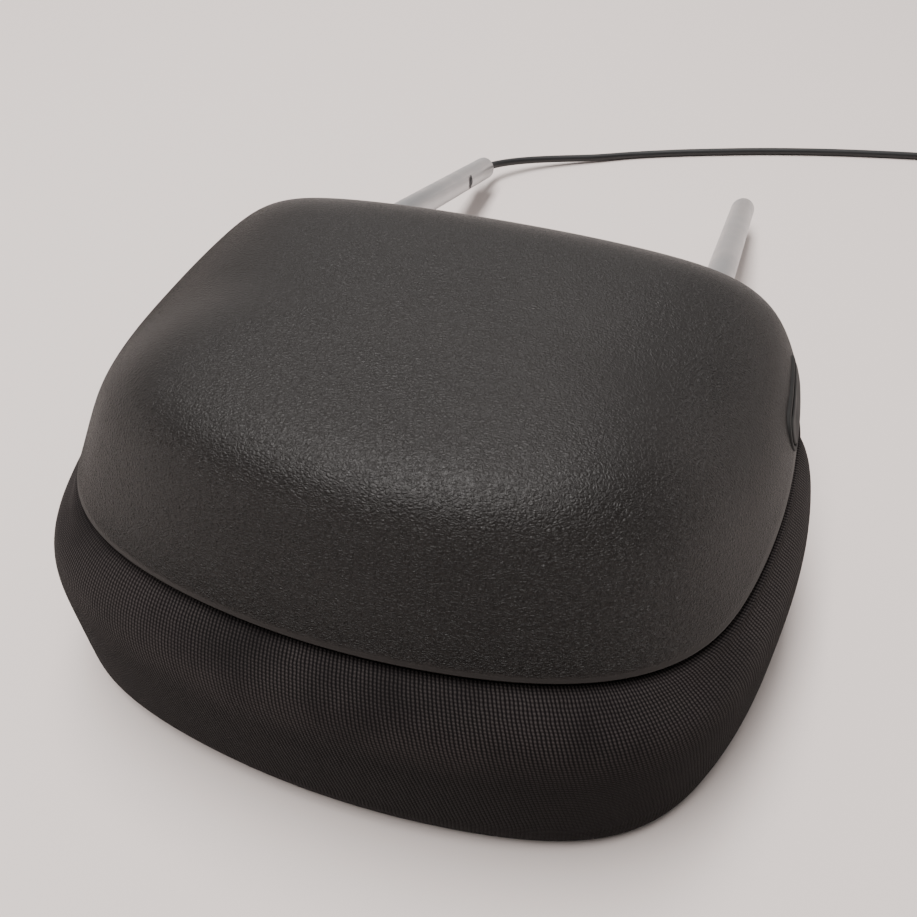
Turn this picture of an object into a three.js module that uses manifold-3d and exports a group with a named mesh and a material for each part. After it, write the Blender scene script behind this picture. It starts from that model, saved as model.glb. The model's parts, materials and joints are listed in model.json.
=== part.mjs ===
// Head restraint with a fore-aft adjustable cushion, lying on its cushion face.
// Millimetres, +Z up. X is the width, +Y points to the free ends of the posts.
// The origin is on the resting plane, below the middle of the head.
import * as THREE from "three";
import { mergeVertices } from "three/addons/utils/BufferGeometryUtils.js";
import Module from "manifold-3d";

const wasm = await Module();
wasm.setup();

// ---------- driving dimensions ----------

const GAP = 0.3; // clearance kept between neighbouring pieces

// head outline: half width, reach towards -Y and +Y, corner exponents and taper
const SHELL_PLAN = {
  half: 110.2, near: 88.2, far: 83.4, nearPower: 3.0, farPower: 4.3, nearTaper: 0.071, farTaper: 0.037,
};
const CUSHION_PLAN = {
  half: 119.2, near: 105.6, far: 87, nearPower: 3.07, farPower: 4.1, nearTaper: 0.044, farTaper: 0.036,
};
const SKIRT_PLAN = {
  half: 93, near: 66, far: 70, nearPower: 3.0, farPower: 4.3, nearTaper: 0.07, farTaper: 0.037,
};
const PLAN_STEPS = 40;

const PARTING_Z = 63.1; // height of the shell's edge at the middle of the head
const PARTING_RISE = 0.027; // its rise per millimetre of Y
const APRON_DROP = 12; // how far the edge dips where the posts come in
const APRON_START = 30;
const APRON_LENGTH = 50;

const SHELL_RISE = 41.7;
const SHELL_LEAN = 8.1; // the crown sits this far towards the posts
const SHELL_SIDE_POWER = 0.48;
const SHELL_TOP_POWER = 0.98;
const SHELL_WALL = 3;

const CUSHION_MID_Z = 30.5; // height of the cushion's widest line
const CUSHION_SIDE_POWER = 0.455;
const CUSHION_FACE_POWER = 0.238;
const COVER_WALL = 2;
const FACE_FLAT_DEG = 58; // the resting face is flat inside this ring
const COVER_EDGE_DEG = 46;

const POST_SPACING = 146.2;
const POST_RADIUS = 6;
const POST_BORE = 4.4;
const POST_SLOPE = THREE.MathUtils.degToRad(16.2); // the posts run down towards their tips
const POST_TIP = { y: 266.3, z: 12.95 };
const POST_LENGTH = 265;
const TIP_CHAMFER = 1.4;
const NOTCH_INWARD = 42; // the height stop's notch, in from the left post's tip

const CABLE_RADIUS = 2;
const CABLE_SIDES = 8;

const BUTTON = { y: 37, z: 73, length: 36, height: 9, inner: 98, outer: 118, proud: 1.6 };
const PUSH_ROD = { z: 69.6, radius: 2.5, inner: 33.4, nose: 1 };

const PLATE = { bottom: 61.5, top: 65 };
const CARRIER = { bottom: 44, floor: 47, top: 85.5, wall: 2.5 };
const GUIDE = { x: 42, y: -28, rod: 4, bush: 6, sleeve: 8.5, bottom: 55, top: 70.5, rodTop: 96 };
const RACK = { x: 13, y: 37, depth: 7.6, top: 93, toothPitch: 5, toothHeight: 1.8 };
const PAWL = { x: 30, z: 78, thickness: 7.6, pin: 2, hole: 2.3 };
const CLAMP = { y: 47, half: 5, inward: 18, outward: 7.4, screwIn: 13, screwSpread: 2.8 };
const BOSSES = [[-68, -34], [68, -34], [-38, 50], [38, 50]];

// ---------- finishes ----------

const LOOKS = {
  shell: [0x34312f, 0.55, 0],
  fabric: [0x262120, 0.95, 0],
  foam: [0xd9cf9a, 0.9, 0],
  carrier: [0x2a2a2c, 0.6, 0],
  steel: [0xa9a9ab, 0.35, 0.9],
  darkSteel: [0x6d6f73, 0.4, 0.9],
  brass: [0xb59a5a, 0.35, 0.9],
  nylon: [0xdedbd0, 0.5, 0],
  button: [0x18181a, 0.3, 0],
  rubber: [0x151515, 0.8, 0],
  cable: [0x171717, 0.6, 0],
  connector: [0x202022, 0.5, 0],
};

const headrest = new THREE.Group();

function addPiece(name, solid, look) {
  const mesh = solid.getMesh();
  const geometry = new THREE.BufferGeometry();
  geometry.setAttribute("position", new THREE.BufferAttribute(new Float32Array(mesh.vertProperties), 3));
  geometry.setIndex(new THREE.BufferAttribute(new Uint32Array(mesh.triVerts), 1));
  geometry.computeVertexNormals();
  const [color, roughness, metalness] = LOOKS[look];
  const piece = new THREE.Mesh(geometry, new THREE.MeshStandardMaterial({ color, roughness, metalness }));
  piece.name = name;
  headrest.add(piece);
}

// ---------- solids ----------

function solidOf(geometry) {
  geometry.deleteAttribute("normal");
  geometry.deleteAttribute("uv");
  const merged = mergeVertices(geometry, 1e-4);
  const vertProperties = new Float32Array(merged.attributes.position.array);
  const triVerts = new Uint32Array(merged.index.array);
  return new wasm.Manifold(new wasm.Mesh({ numProp: 3, vertProperties, triVerts }));
}

// a box between two corners, turned about the X axis at its middle
function block(low, high, tilt = 0) {
  const size = high.map((value, i) => value - low[i]);
  const centre = high.map((value, i) => (value + low[i]) / 2);
  const geometry = new THREE.BoxGeometry(...size);
  geometry.rotateX(tilt);
  geometry.translate(...centre);
  return solidOf(geometry);
}

// turns geometry made along +Y so that it starts at one point and runs to another
function alongLine(geometry, from, to) {
  const start = new THREE.Vector3(...from);
  const direction = new THREE.Vector3(...to).sub(start);
  const up = new THREE.Vector3(0, 1, 0);
  geometry.applyQuaternion(new THREE.Quaternion().setFromUnitVectors(up, direction.clone().normalize()));
  geometry.translate(start.x, start.y, start.z);
  return solidOf(geometry);
}

// a round bar between two points; a profile is a list of [radius, distance along the bar]
function turned(profile, from, to, sides = 16) {
  const points = profile.map(([radius, along]) => new THREE.Vector2(radius, along));
  return alongLine(new THREE.LatheGeometry(points, sides), from, to);
}

function rod(radius, from, to, sides = 16) {
  const length = new THREE.Vector3(...to).distanceTo(new THREE.Vector3(...from));
  return turned([[0, 0], [radius, 0], [radius, length], [0, length]], from, to, sides);
}

function ring(outer, inner, from, to, sides = 16) {
  const length = new THREE.Vector3(...to).distanceTo(new THREE.Vector3(...from));
  const profile = [[inner, 0], [outer, 0], [outer, length], [inner, length], [inner, 0]];
  return turned(profile, from, to, sides);
}

// closed skin through rings of points, with a single point closing each end
function loft(rings, firstPole, lastPole) {
  const count = rings[0].length;
  const positions = [firstPole, ...rings.flat(), lastPole].flat();
  const last = rings.length * count + 1;
  const index = [];
  for (let j = 0; j < count; j += 1) {
    const next = (j + 1) % count;
    index.push(0, 1 + next, 1 + j);
    for (let i = 0; i + 1 < rings.length; i += 1) {
      const a = 1 + i * count;
      const b = a + count;
      index.push(a + j, a + next, b + next);
      index.push(a + j, b + next, b + j);
    }
    const end = 1 + (rings.length - 1) * count;
    index.push(end + j, end + next, last);
  }
  const geometry = new THREE.BufferGeometry();
  geometry.setAttribute("position", new THREE.Float32BufferAttribute(positions, 3));
  geometry.setIndex(index);
  const solid = solidOf(geometry);
  return solid.volume() > 0 ? solid : loft([...rings].reverse(), lastPole, firstPole);
}

// a tube along a smooth curve through points
function tube(points, radius, steps, sides = CABLE_SIDES) {
  const places = points.map((point) => new THREE.Vector3(...point));
  return tubeAlong(new THREE.CatmullRomCurve3(places, false, "centripetal"), radius, steps, sides);
}

function tubeAlong(curve, radius, steps, sides) {
  const section = new THREE.Shape();
  for (let i = 0; i < sides; i += 1) {
    const angle = (2 * Math.PI * i) / sides;
    const move = i === 0 ? "moveTo" : "lineTo";
    section[move](radius * Math.cos(angle), radius * Math.sin(angle));
  }
  section.closePath();
  return solidOf(new THREE.ExtrudeGeometry(section, { steps, extrudePath: curve, curveSegments: 1 }));
}

class Helix extends THREE.Curve {
  constructor(centre, radius, length, turns) {
    super();
    Object.assign(this, { centre, radius, length, turns });
  }
  getPoint(t, target = new THREE.Vector3()) {
    const angle = 2 * Math.PI * this.turns * t;
    const across = this.radius * Math.cos(angle);
    const up = this.radius * Math.sin(angle);
    return target.set(this.centre[0] + across, this.centre[1] + up, this.centre[2] + this.length * t);
  }
}

// a coil spring whose axis runs from one point to another
function spring(radius, wire, turns, from, to) {
  const length = new THREE.Vector3(...to).distanceTo(new THREE.Vector3(...from)) - 2 * wire;
  const steps = Math.round(turns * 9);
  const coil = new Helix([0, 0, wire], radius, length, turns);
  const section = new THREE.Shape();
  [[-1, -1], [1, -1], [1, 1], [-1, 1]].forEach(([a, b], i) => {
    section[i === 0 ? "moveTo" : "lineTo"](a * wire * 0.8, b * wire * 0.8);
  });
  section.closePath();
  const geometry = new THREE.ExtrudeGeometry(section, { steps, extrudePath: coil, curveSegments: 1 });
  geometry.rotateX(-Math.PI / 2);
  return alongLine(geometry, from, to);
}

// a stadium-shaped bar along X
function capsuleBar(length, height, fromX, toX) {
  const r = height / 2;
  const half = length / 2 - r;
  const outline = new THREE.Shape();
  outline.absarc(half, 0, r, -Math.PI / 2, Math.PI / 2, false);
  outline.absarc(-half, 0, r, Math.PI / 2, (3 * Math.PI) / 2, false);
  outline.closePath();
  const settings = { depth: toX - fromX, bevelEnabled: false, curveSegments: 8 };
  const geometry = new THREE.ExtrudeGeometry(outline, settings);
  geometry.rotateX(Math.PI / 2); // outline along X and Z, depth along -Y
  geometry.rotateZ(Math.PI / 2); // outline along Y, depth along +X
  geometry.translate(fromX, BUTTON.y, BUTTON.z);
  return solidOf(geometry);
}

// ---------- head shape ----------

function smoothstep(t) {
  const s = Math.min(Math.max(t, 0), 1);
  return s * s * (3 - 2 * s);
}

function partingHeight(y) {
  return PARTING_Z + PARTING_RISE * y;
}

function apronDrop(y) {
  return APRON_DROP * smoothstep((y - APRON_START) / APRON_LENGTH);
}

// a point of a plan outline, pulled in by an inset
function planPoint(plan, angle, inset = 0) {
  const c = Math.cos(angle);
  const s = Math.sin(angle);
  const farShare = 1 / (1 + Math.exp(-6 * s));
  const power = plan.nearPower + (plan.farPower - plan.nearPower) * farShare;
  const along = Math.sign(s) * Math.abs(s) ** (2 / power);
  const taper = 1 + (s > 0 ? plan.farTaper : plan.nearTaper) * along;
  const x = (plan.half - inset) * Math.sign(c) * Math.abs(c) ** (2 / power) * taper;
  return [x, ((s > 0 ? plan.far : plan.near) - inset) * along];
}

// the angles of an outline's points
function planAngles() {
  return Array.from({ length: PLAN_STEPS }, (_, i) => (2 * Math.PI * i) / PLAN_STEPS);
}

function shellRing(degrees, inset) {
  const lift = THREE.MathUtils.degToRad(degrees);
  const spread = Math.cos(lift) ** SHELL_SIDE_POWER;
  const rise = (SHELL_RISE - inset) * Math.sin(lift) ** SHELL_TOP_POWER;
  return planAngles().map((angle) => {
    const [x, y] = planPoint(SHELL_PLAN, angle, inset);
    return [x * spread, y * spread + SHELL_LEAN * Math.sin(lift), partingHeight(y) + rise];
  });
}

function shellEdge(inset) {
  return planAngles().map((angle) => {
    const [x, y] = planPoint(SHELL_PLAN, angle, inset);
    return [x, y, partingHeight(y) - apronDrop(y)];
  });
}

const SHELL_RINGS = [3, 11, 22, 35, 48, 61, 74];
const SHELL_INNER_RINGS = [3, 16, 32, 48, 66];

function shellPole(inset) {
  return [0, SHELL_LEAN, PARTING_Z + SHELL_RISE - inset];
}

// the full outer volume of the shell, grown or shrunk by an inset
function shellVolume(inset) {
  const rings = [shellEdge(inset), ...SHELL_RINGS.map((degrees) => shellRing(degrees, inset))];
  return loft(rings, [0, 0, PARTING_Z], shellPole(inset));
}

function shellBowl() {
  const outside = [shellEdge(0), ...SHELL_RINGS.map((degrees) => shellRing(degrees, 0))];
  const hollow = SHELL_INNER_RINGS.map((degrees) => shellRing(degrees, SHELL_WALL));
  const inside = [shellEdge(SHELL_WALL), ...hollow];
  return loft([...outside.reverse(), ...inside], shellPole(0), shellPole(SHELL_WALL));
}

function cushionRing(degrees, inset) {
  const tilt = THREE.MathUtils.degToRad(degrees);
  const spread = Math.cos(tilt) ** CUSHION_SIDE_POWER;
  const share = Math.abs(Math.sin(tilt)) ** CUSHION_FACE_POWER;
  const flat = Math.sin(THREE.MathUtils.degToRad(FACE_FLAT_DEG)) ** CUSHION_FACE_POWER;
  return planAngles().map((angle) => {
    const [x, y] = planPoint(CUSHION_PLAN, angle, inset);
    if (degrees < 0) {
      const drop = Math.min(share / flat, 1) * (CUSHION_MID_Z - inset);
      return [x * spread, y * spread, CUSHION_MID_Z - drop];
    }
    const top = partingHeight(y) - apronDrop(y) - inset;
    return [x * spread, y * spread, CUSHION_MID_Z + (top - CUSHION_MID_Z) * share];
  });
}

const CUSHION_RINGS = [-FACE_FLAT_DEG, -40, -24, -10, -3, 3, 12, 28, COVER_EDGE_DEG];
const INNER_RINGS = [-FACE_FLAT_DEG, -30, -8, 8, 28, COVER_EDGE_DEG];

function cushionRings(levels, inset) {
  return levels.map((degrees) => cushionRing(degrees, inset));
}

function coverBowl() {
  const outside = cushionRings(CUSHION_RINGS, 0);
  const inside = cushionRings(INNER_RINGS, COVER_WALL);
  return loft([...outside, ...inside.reverse()], [0, 0, 0], [0, 0, COVER_WALL]);
}

// an upright prism of a plan outline
function prism(plan, inset, bottom, top) {
  const level = (z) => planAngles().map((angle) => [...planPoint(plan, angle, inset), z]);
  return loft([level(bottom), level(top)], [0, 0, bottom], [0, 0, top]);
}

// ---------- posts ----------

// a point on a post's axis, given the side and the distance in from the tip
function onPost(side, inward, above = 0) {
  const along = inward * Math.cos(POST_SLOPE) - above * Math.sin(POST_SLOPE);
  const up = inward * Math.sin(POST_SLOPE) + above * Math.cos(POST_SLOPE);
  return [(side * POST_SPACING) / 2, POST_TIP.y - along, POST_TIP.z + up];
}

// distance in from the tip at which a post reaches a given Y
function inwardAt(y) {
  return (POST_TIP.y - y) / Math.cos(POST_SLOPE);
}

function leftPost() {
  const inner = POST_BORE;
  const edge = 0.6;
  const profile = [
    [inner, 0], [POST_RADIUS - edge, 0], [POST_RADIUS, edge], [POST_RADIUS, POST_LENGTH],
    [inner, POST_LENGTH], [inner, 0],
  ];
  const post = turned(profile, onPost(-1, 0), onPost(-1, POST_LENGTH), 28);
  const [x, y, z] = onPost(-1, NOTCH_INWARD);
  const notch = block([x + 4.6, y - 3, z - 8], [x + 9, y + 3, z + 8], -POST_SLOPE);
  return post.subtract(notch);
}

function rightPost() {
  const flat = POST_RADIUS - TIP_CHAMFER;
  const profile = [
    [0, 0], [flat, 0], [POST_RADIUS, TIP_CHAMFER], [POST_RADIUS, POST_LENGTH],
    [POST_BORE, POST_LENGTH], [POST_BORE, 6], [0, 6],
  ];
  return turned(profile, onPost(1, 0), onPost(1, POST_LENGTH), 28);
}

function postHole(side, radius, fromY, toY) {
  return rod(radius, onPost(side, inwardAt(fromY)), onPost(side, inwardAt(toY)), 24);
}

// the escutcheon through which a post leaves the shell's lower edge
function postCollar(side) {
  const sleeve = ring(8.6, POST_RADIUS + GAP, onPost(side, inwardAt(88)), onPost(side, inwardAt(76)));
  const flange = ring(11.5, POST_RADIUS + GAP, onPost(side, inwardAt(87)), onPost(side, inwardAt(79)));
  return sleeve.add(flange.subtract(shellVolume(-GAP)));
}

function crossTube(extra = 0) {
  const reach = POST_SPACING / 2 - POST_RADIUS - GAP + extra;
  const [, y, z] = onPost(0, inwardAt(22));
  return rod(5 + extra, [-reach, y, z], [reach, y, z], 16);
}

// X extent of a clamp or its cradle: it wraps the post and reaches inwards
function clampReach(side) {
  const x = (side * POST_SPACING) / 2;
  const ends = [x - side * CLAMP.inward, x + side * CLAMP.outward];
  return ends.sort((p, q) => p - q);
}

function postClamp(side) {
  const [low, high] = clampReach(side);
  const [, y, z] = onPost(side, inwardAt(CLAMP.y));
  const strap = block([low, y - CLAMP.half, z + 0.8], [high, y + CLAMP.half, z + 8.6], -POST_SLOPE);
  const holes = [-1, 1].map((s) => rod(1.8, ...clampScrewLine(side, s, -20, 30), 8));
  return strap.subtract(postHole(side, POST_RADIUS + GAP, 80, 20)).subtract(holes[0]).subtract(holes[1]);
}

function clampScrewLine(side, s, below, above) {
  const inward = inwardAt(CLAMP.y + s * CLAMP.screwSpread);
  const shift = side * CLAMP.screwIn;
  return [below, above].map((height) => {
    const [x, y, z] = onPost(side, inward, height);
    return [x - shift, y, z];
  });
}

function clampScrew(side, s) {
  const [foot, head] = clampScrewLine(side, s, -6, 12.2);
  const profile = [[0, 0], [1.4, 0.6], [1.4, 15], [2.5, 15], [2.5, 16.4], [1.8, 17.2], [0, 17.2]];
  return turned(profile, foot, head, 8);
}

// ---------- fixed mechanism ----------

function rearShell() {
  let shell = shellBowl();
  const inside = shellVolume(SHELL_WALL / 2);
  BOSSES.forEach(([x, y]) => {
    shell = shell.add(rod(4.5, [x, y, PLATE.top + GAP], [x, y, 110], 12).intersect(inside));
  });
  BOSSES.forEach(([x, y]) => {
    shell = shell.subtract(rod(1.7, [x, y, 60], [x, y, PLATE.top + 13], 10));
  });
  [-1, 1].forEach((side) => {
    shell = shell.subtract(postHole(side, 9, 100, 70));
  });
  return shell.subtract(capsuleBar(BUTTON.length + 4.6, BUTTON.height + 4.6, 92, 125));
}

function basePlate() {
  let plate = prism(SKIRT_PLAN, CARRIER.wall + 4, PLATE.bottom, PLATE.top);
  [-1, 1].forEach((side) => {
    const x = (side * POST_SPACING) / 2;
    const [low, high] = clampReach(side);
    const [, , restHeight] = onPost(side, inwardAt(CLAMP.y));
    const cradleTop = restHeight - 2;
    const innerTop = onPost(side, inwardAt(20))[2] - POST_RADIUS;
    const [near, far] = [CLAMP.y - CLAMP.half, CLAMP.y + CLAMP.half];
    plate = plate.add(block([low, near, PLATE.bottom], [high, far, cradleTop]));
    plate = plate.add(block([x - 9, 14, PLATE.bottom], [x + 9, 27, innerTop]));
    plate = plate.subtract(postHole(side, POST_RADIUS + GAP, 90, 0));
    const guide = [side * GUIDE.x, GUIDE.y];
    plate = plate.add(rod(GUIDE.sleeve, [...guide, GUIDE.bottom], [...guide, GUIDE.top]));
    plate = plate.subtract(rod(GUIDE.bush + GAP, [...guide, 50], [...guide, 99]));
    [-1, 1].forEach((s) => {
      plate = plate.subtract(rod(1.4 + GAP, ...clampScrewLine(side, s, -6.5, 30), 8));
    });
  });
  plate = plate.subtract(crossTube(GAP));
  BOSSES.forEach(([x, y]) => {
    plate = plate.subtract(rod(2, [x, y, 50], [x, y, 80], 10));
  });
  plate = plate.subtract(block([RACK.x - 8, RACK.y - 6, 50], [RACK.x + 11, RACK.y + 6, 66]));
  const ear = PAWL.thickness / 2 + GAP;
  [-1, 1].forEach((s) => {
    const inner = RACK.y + s * ear;
    const outer = inner + s * 2.7;
    plate = plate.add(block([26, Math.min(inner, outer), PLATE.bottom], [34, Math.max(inner, outer), 82]));
  });
  plate = plate.subtract(rod(PAWL.hole, [PAWL.x, RACK.y - 12, PAWL.z], [PAWL.x, RACK.y + 12, PAWL.z], 16));
  plate = plate.add(block([77, BUTTON.y - 6, PLATE.bottom], [82, BUTTON.y + 6, PUSH_ROD.z + 3.6]));
  const bearing = rod(PUSH_ROD.radius + GAP, [60, BUTTON.y, PUSH_ROD.z], [95, BUTTON.y, PUSH_ROD.z], 16);
  return plate.subtract(bearing);
}

function plateScrew([x, y]) {
  const profile = [[0, 0], [3.4, 0], [3.4, 2.4], [1.4, 2.4], [1.4, 14], [0, 14.8]];
  const head = PLATE.bottom - 2.4 - GAP;
  return turned(profile, [x, y, head], [x, y, head + 20], 10);
}

function guideBush(side) {
  const x = side * GUIDE.x;
  return ring(GUIDE.bush, GUIDE.rod + GAP, [x, GUIDE.y, GUIDE.bottom], [x, GUIDE.y, GUIDE.top]);
}

function pawlPin() {
  const half = PAWL.thickness / 2 + 4.5;
  return rod(PAWL.pin, [PAWL.x, RACK.y - half, PAWL.z], [PAWL.x, RACK.y + half + 4, PAWL.z], 16);
}

function pawlSpring() {
  const start = RACK.y + PAWL.thickness / 2 + 3.6;
  return spring(3.2, 0.5, 4, [PAWL.x, start, PAWL.z], [PAWL.x, start + 4.6, PAWL.z]);
}

function actuator() {
  const body = block([-52, 12.3, PLATE.top + GAP], [-30, 44, 78]);
  return body.add(block([-55, 20, PLATE.top + GAP], [-27, 36, PLATE.top + 3]));
}

const INNER_LEAD = [onPost(-1, 8), onPost(-1, 120), onPost(-1, POST_LENGTH), onPost(-1, POST_LENGTH + 6),
  [-68, 2, 93], [-60, -3, 88], [-52, -2, 80], [-45, 3, 74], [-41, 11.4, 72]];

function innerLead() {
  return tube(INNER_LEAD, CABLE_RADIUS, 36);
}

// ---------- side button ----------

function buttonBezel() {
  const rim = capsuleBar(BUTTON.length + 4, BUTTON.height + 4, 100, 125);
  const hole = capsuleBar(BUTTON.length + 0.8, BUTTON.height + 0.8, 90, 130);
  return rim.subtract(hole).intersect(shellVolume(-0.4));
}

function sideButton() {
  const bar = capsuleBar(BUTTON.length, BUTTON.height, BUTTON.inner, BUTTON.outer);
  return bar.intersect(shellVolume(-BUTTON.proud));
}

function pushRod() {
  const { inner, nose, radius, z } = PUSH_ROD;
  const length = BUTTON.inner - GAP - inner;
  const profile = [[0, 0], [nose, 0], [nose, 7], [radius, 8.5], [radius, length], [0, length]];
  return turned(profile, [inner, BUTTON.y, z], [inner + length, BUTTON.y, z]);
}

function buttonSpring() {
  return spring(3.5, 0.5, 5, [82.4, BUTTON.y, PUSH_ROD.z], [BUTTON.inner - GAP, BUTTON.y, PUSH_ROD.z]);
}

function lockPawl() {
  const shape = new THREE.Shape();
  shape.moveTo(-2.2, -11.5);
  shape.lineTo(2.3, -11.5);
  shape.lineTo(3.6, 0);
  shape.lineTo(3, 6);
  shape.lineTo(-4, 12);
  shape.lineTo(-9.6, 10.4);
  shape.lineTo(-8.2, 8.4);
  shape.lineTo(-3.8, 4);
  shape.closePath();
  const geometry = new THREE.ExtrudeGeometry(shape, { depth: PAWL.thickness, bevelEnabled: false });
  geometry.rotateX(Math.PI / 2);
  geometry.translate(PAWL.x, RACK.y + PAWL.thickness / 2, PAWL.z);
  const pivot = rod(PAWL.hole, [PAWL.x, RACK.y - 9, PAWL.z], [PAWL.x, RACK.y + 9, PAWL.z], 16);
  return solidOf(geometry).subtract(pivot);
}

// ---------- sliding cushion ----------

function cushionCarrier() {
  let carrier = prism(SKIRT_PLAN, 0, CARRIER.bottom, CARRIER.top);
  carrier = carrier.subtract(prism(SKIRT_PLAN, CARRIER.wall, CARRIER.floor, CARRIER.top + 5));
  const flange = prism(SHELL_PLAN, 10, 50, 53);
  const farSide = block([-120, 30, 40], [120, 120, 60]);
  carrier = carrier.add(flange.subtract(prism(SKIRT_PLAN, CARRIER.wall / 2, 40, 60)).subtract(farSide));
  [-1, 1].forEach((side) => {
    const x = (side * POST_SPACING) / 2;
    carrier = carrier.subtract(block([x - 8, 40, 58], [x + 8, 90, 90]));
    const foot = [side * GUIDE.x, GUIDE.y];
    carrier = carrier.add(rod(7, [...foot, CARRIER.floor - 1], [...foot, 54]));
    carrier = carrier.subtract(rod(GUIDE.rod + GAP, [...foot, CARRIER.floor], [...foot, 60]));
  });
  return carrier.subtract(block([84, BUTTON.y - 7, 62], [100, BUTTON.y + 7, 90]));
}

function foamPad() {
  const inset = COVER_WALL + 2 * GAP;
  const foam = loft(cushionRings(INNER_RINGS, inset), [0, 0, inset], [0, 0, 60 - inset]);
  const keepClear = prism(SKIRT_PLAN, -GAP, CARRIER.bottom - GAP, 90);
  const flange = prism(SHELL_PLAN, 10 - GAP, 50 - GAP, 90);
  return foam.subtract(keepClear).subtract(flange);
}

function guideRod(side) {
  const x = side * GUIDE.x;
  const length = GUIDE.rodTop - CARRIER.floor - GAP;
  const groove = length - 3.4;
  const profile = [[0, 0], [GUIDE.rod, 0], [GUIDE.rod, groove], [3.2, groove], [3.2, groove + 1.6],
    [GUIDE.rod, groove + 1.6], [GUIDE.rod, length - 0.6], [GUIDE.rod - 0.6, length], [0, length]];
  const foot = CARRIER.floor + GAP;
  return turned(profile, [x, GUIDE.y, foot], [x, GUIDE.y, foot + length]);
}

// the clip that keeps a guide rod from leaving its bush
function rodClip(side) {
  const x = side * GUIDE.x;
  const bottom = GUIDE.rodTop - 3.4 + GAP;
  const clip = ring(6.6, 3.5, [x, GUIDE.y, bottom], [x, GUIDE.y, bottom + 1]);
  return clip.subtract(block([x - 1.5, GUIDE.y, bottom - 1], [x + 1.5, GUIDE.y + 9, bottom + 2]));
}

function ratchetRack() {
  const half = RACK.depth / 2;
  const left = RACK.x - 5;
  const right = RACK.x + 5;
  const foot = CARRIER.floor + GAP;
  const outline = new THREE.Shape();
  outline.moveTo(left, foot);
  outline.lineTo(right, foot);
  for (let z = foot + 10; z + RACK.toothPitch < RACK.top; z += RACK.toothPitch) {
    outline.lineTo(right, z);
    outline.lineTo(right + RACK.toothHeight, z + 0.6);
    outline.lineTo(right + RACK.toothHeight, z + 1.8);
    outline.lineTo(right, z + 4.2);
  }
  outline.lineTo(right, RACK.top);
  outline.lineTo(left, RACK.top);
  outline.closePath();
  const geometry = new THREE.ExtrudeGeometry(outline, { depth: RACK.depth, bevelEnabled: false });
  geometry.rotateX(Math.PI / 2);
  geometry.translate(0, RACK.y + half, 0);
  return solidOf(geometry);
}

// ---------- cable ----------

// from the post's tip, down to the table and along it to the coil
const CABLE_ROUTE = [
  onPost(-1, 2), [-72.6, 272, 11.2], [-70.6, 279, 9.4], [-64, 288.5, 7.6], [-52.9, 298.8, 5.8],
  [-38, 309, 4.1], [-20, 319.4, 2.7], [2.6, 332.3, 2], [26, 342.8, 2], [49, 351.9, 2], [72, 360.3, 2],
  [95, 367.6, 2], [118, 374, 2], [141, 379.5, 2], [163, 384.1, 2], [185, 387.4, 2], [208, 388, 2],
];
const COIL = { x: 208, y: 364, inner: 20, outer: 24, layer: 4 };
const CONNECTOR = { x: 232, y: 323, length: 22, width: 14, height: 9 };

function coilRing(extra = 0) {
  const inner = COIL.inner - CABLE_RADIUS - 0.2 - extra;
  const outer = COIL.outer + CABLE_RADIUS + 0.2 + extra;
  const centre = [COIL.x, COIL.y];
  return ring(outer, inner, [...centre, 0], [...centre, 2 * COIL.layer + extra], 32);
}

function cableLead() {
  return tube(CABLE_ROUTE, CABLE_RADIUS, 54).subtract(coilRing(GAP));
}

function cableGrommet() {
  return ring(POST_BORE - GAP / 2, CABLE_RADIUS + GAP, onPost(-1, 0.5), onPost(-1, 7), 20);
}

// leaves the coil's upper layer and comes down to the connector's height
const TAIL_ROUTE = [
  [232, 364, 6], [232, 356, 5.8], [232, 349, 5], [232, 342, 4.6],
  [232, CONNECTOR.y + CONNECTOR.length / 2 + 0.6, CONNECTOR.height / 2],
];

function cableTail() {
  return tube(TAIL_ROUTE, CABLE_RADIUS, 10).subtract(coilRing(GAP));
}

function connectorHousing() {
  const { x, y, length, width, height } = CONNECTOR;
  const front = y - length / 2;
  const back = y + length / 2;
  let housing = block([x - width / 2, front, 0], [x + width / 2, back - 6, height]);
  housing = housing.add(block([x - 5, back - 7, 0.6], [x + 5, back, height - 0.6]));
  [-1, 1].forEach((side) => {
    const edge = x + (side * width) / 2;
    housing = housing.add(block([edge - 1, front, 2], [edge + 1, back - 8, 4]));
  });
  housing = housing.subtract(block([x - 5.4, front - 1, 1.6], [x + 5.4, back - 9, height - 1.6]));
  return housing;
}

function connectorClip() {
  const { x, y, length, height } = CONNECTOR;
  const front = y - length / 2;
  const bar = block([x - 2.5, front + 1, height + GAP], [x + 2.5, front + 15, height + 1.6]);
  return bar.add(block([x - 2.5, front + 1, height + 1], [x + 2.5, front + 3, height + 2.8]));
}

function terminalPin(i) {
  const { x, y, length, height } = CONNECTOR;
  const front = y - length / 2;
  const across = x - 3 + 2 * i;
  const back = y + length / 2 - 9 - GAP;
  return block([across - 0.4, front + 3, height / 2 - 0.4], [across + 0.4, back, height / 2 + 0.4]);
}

// ---------- assembly ----------

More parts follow.
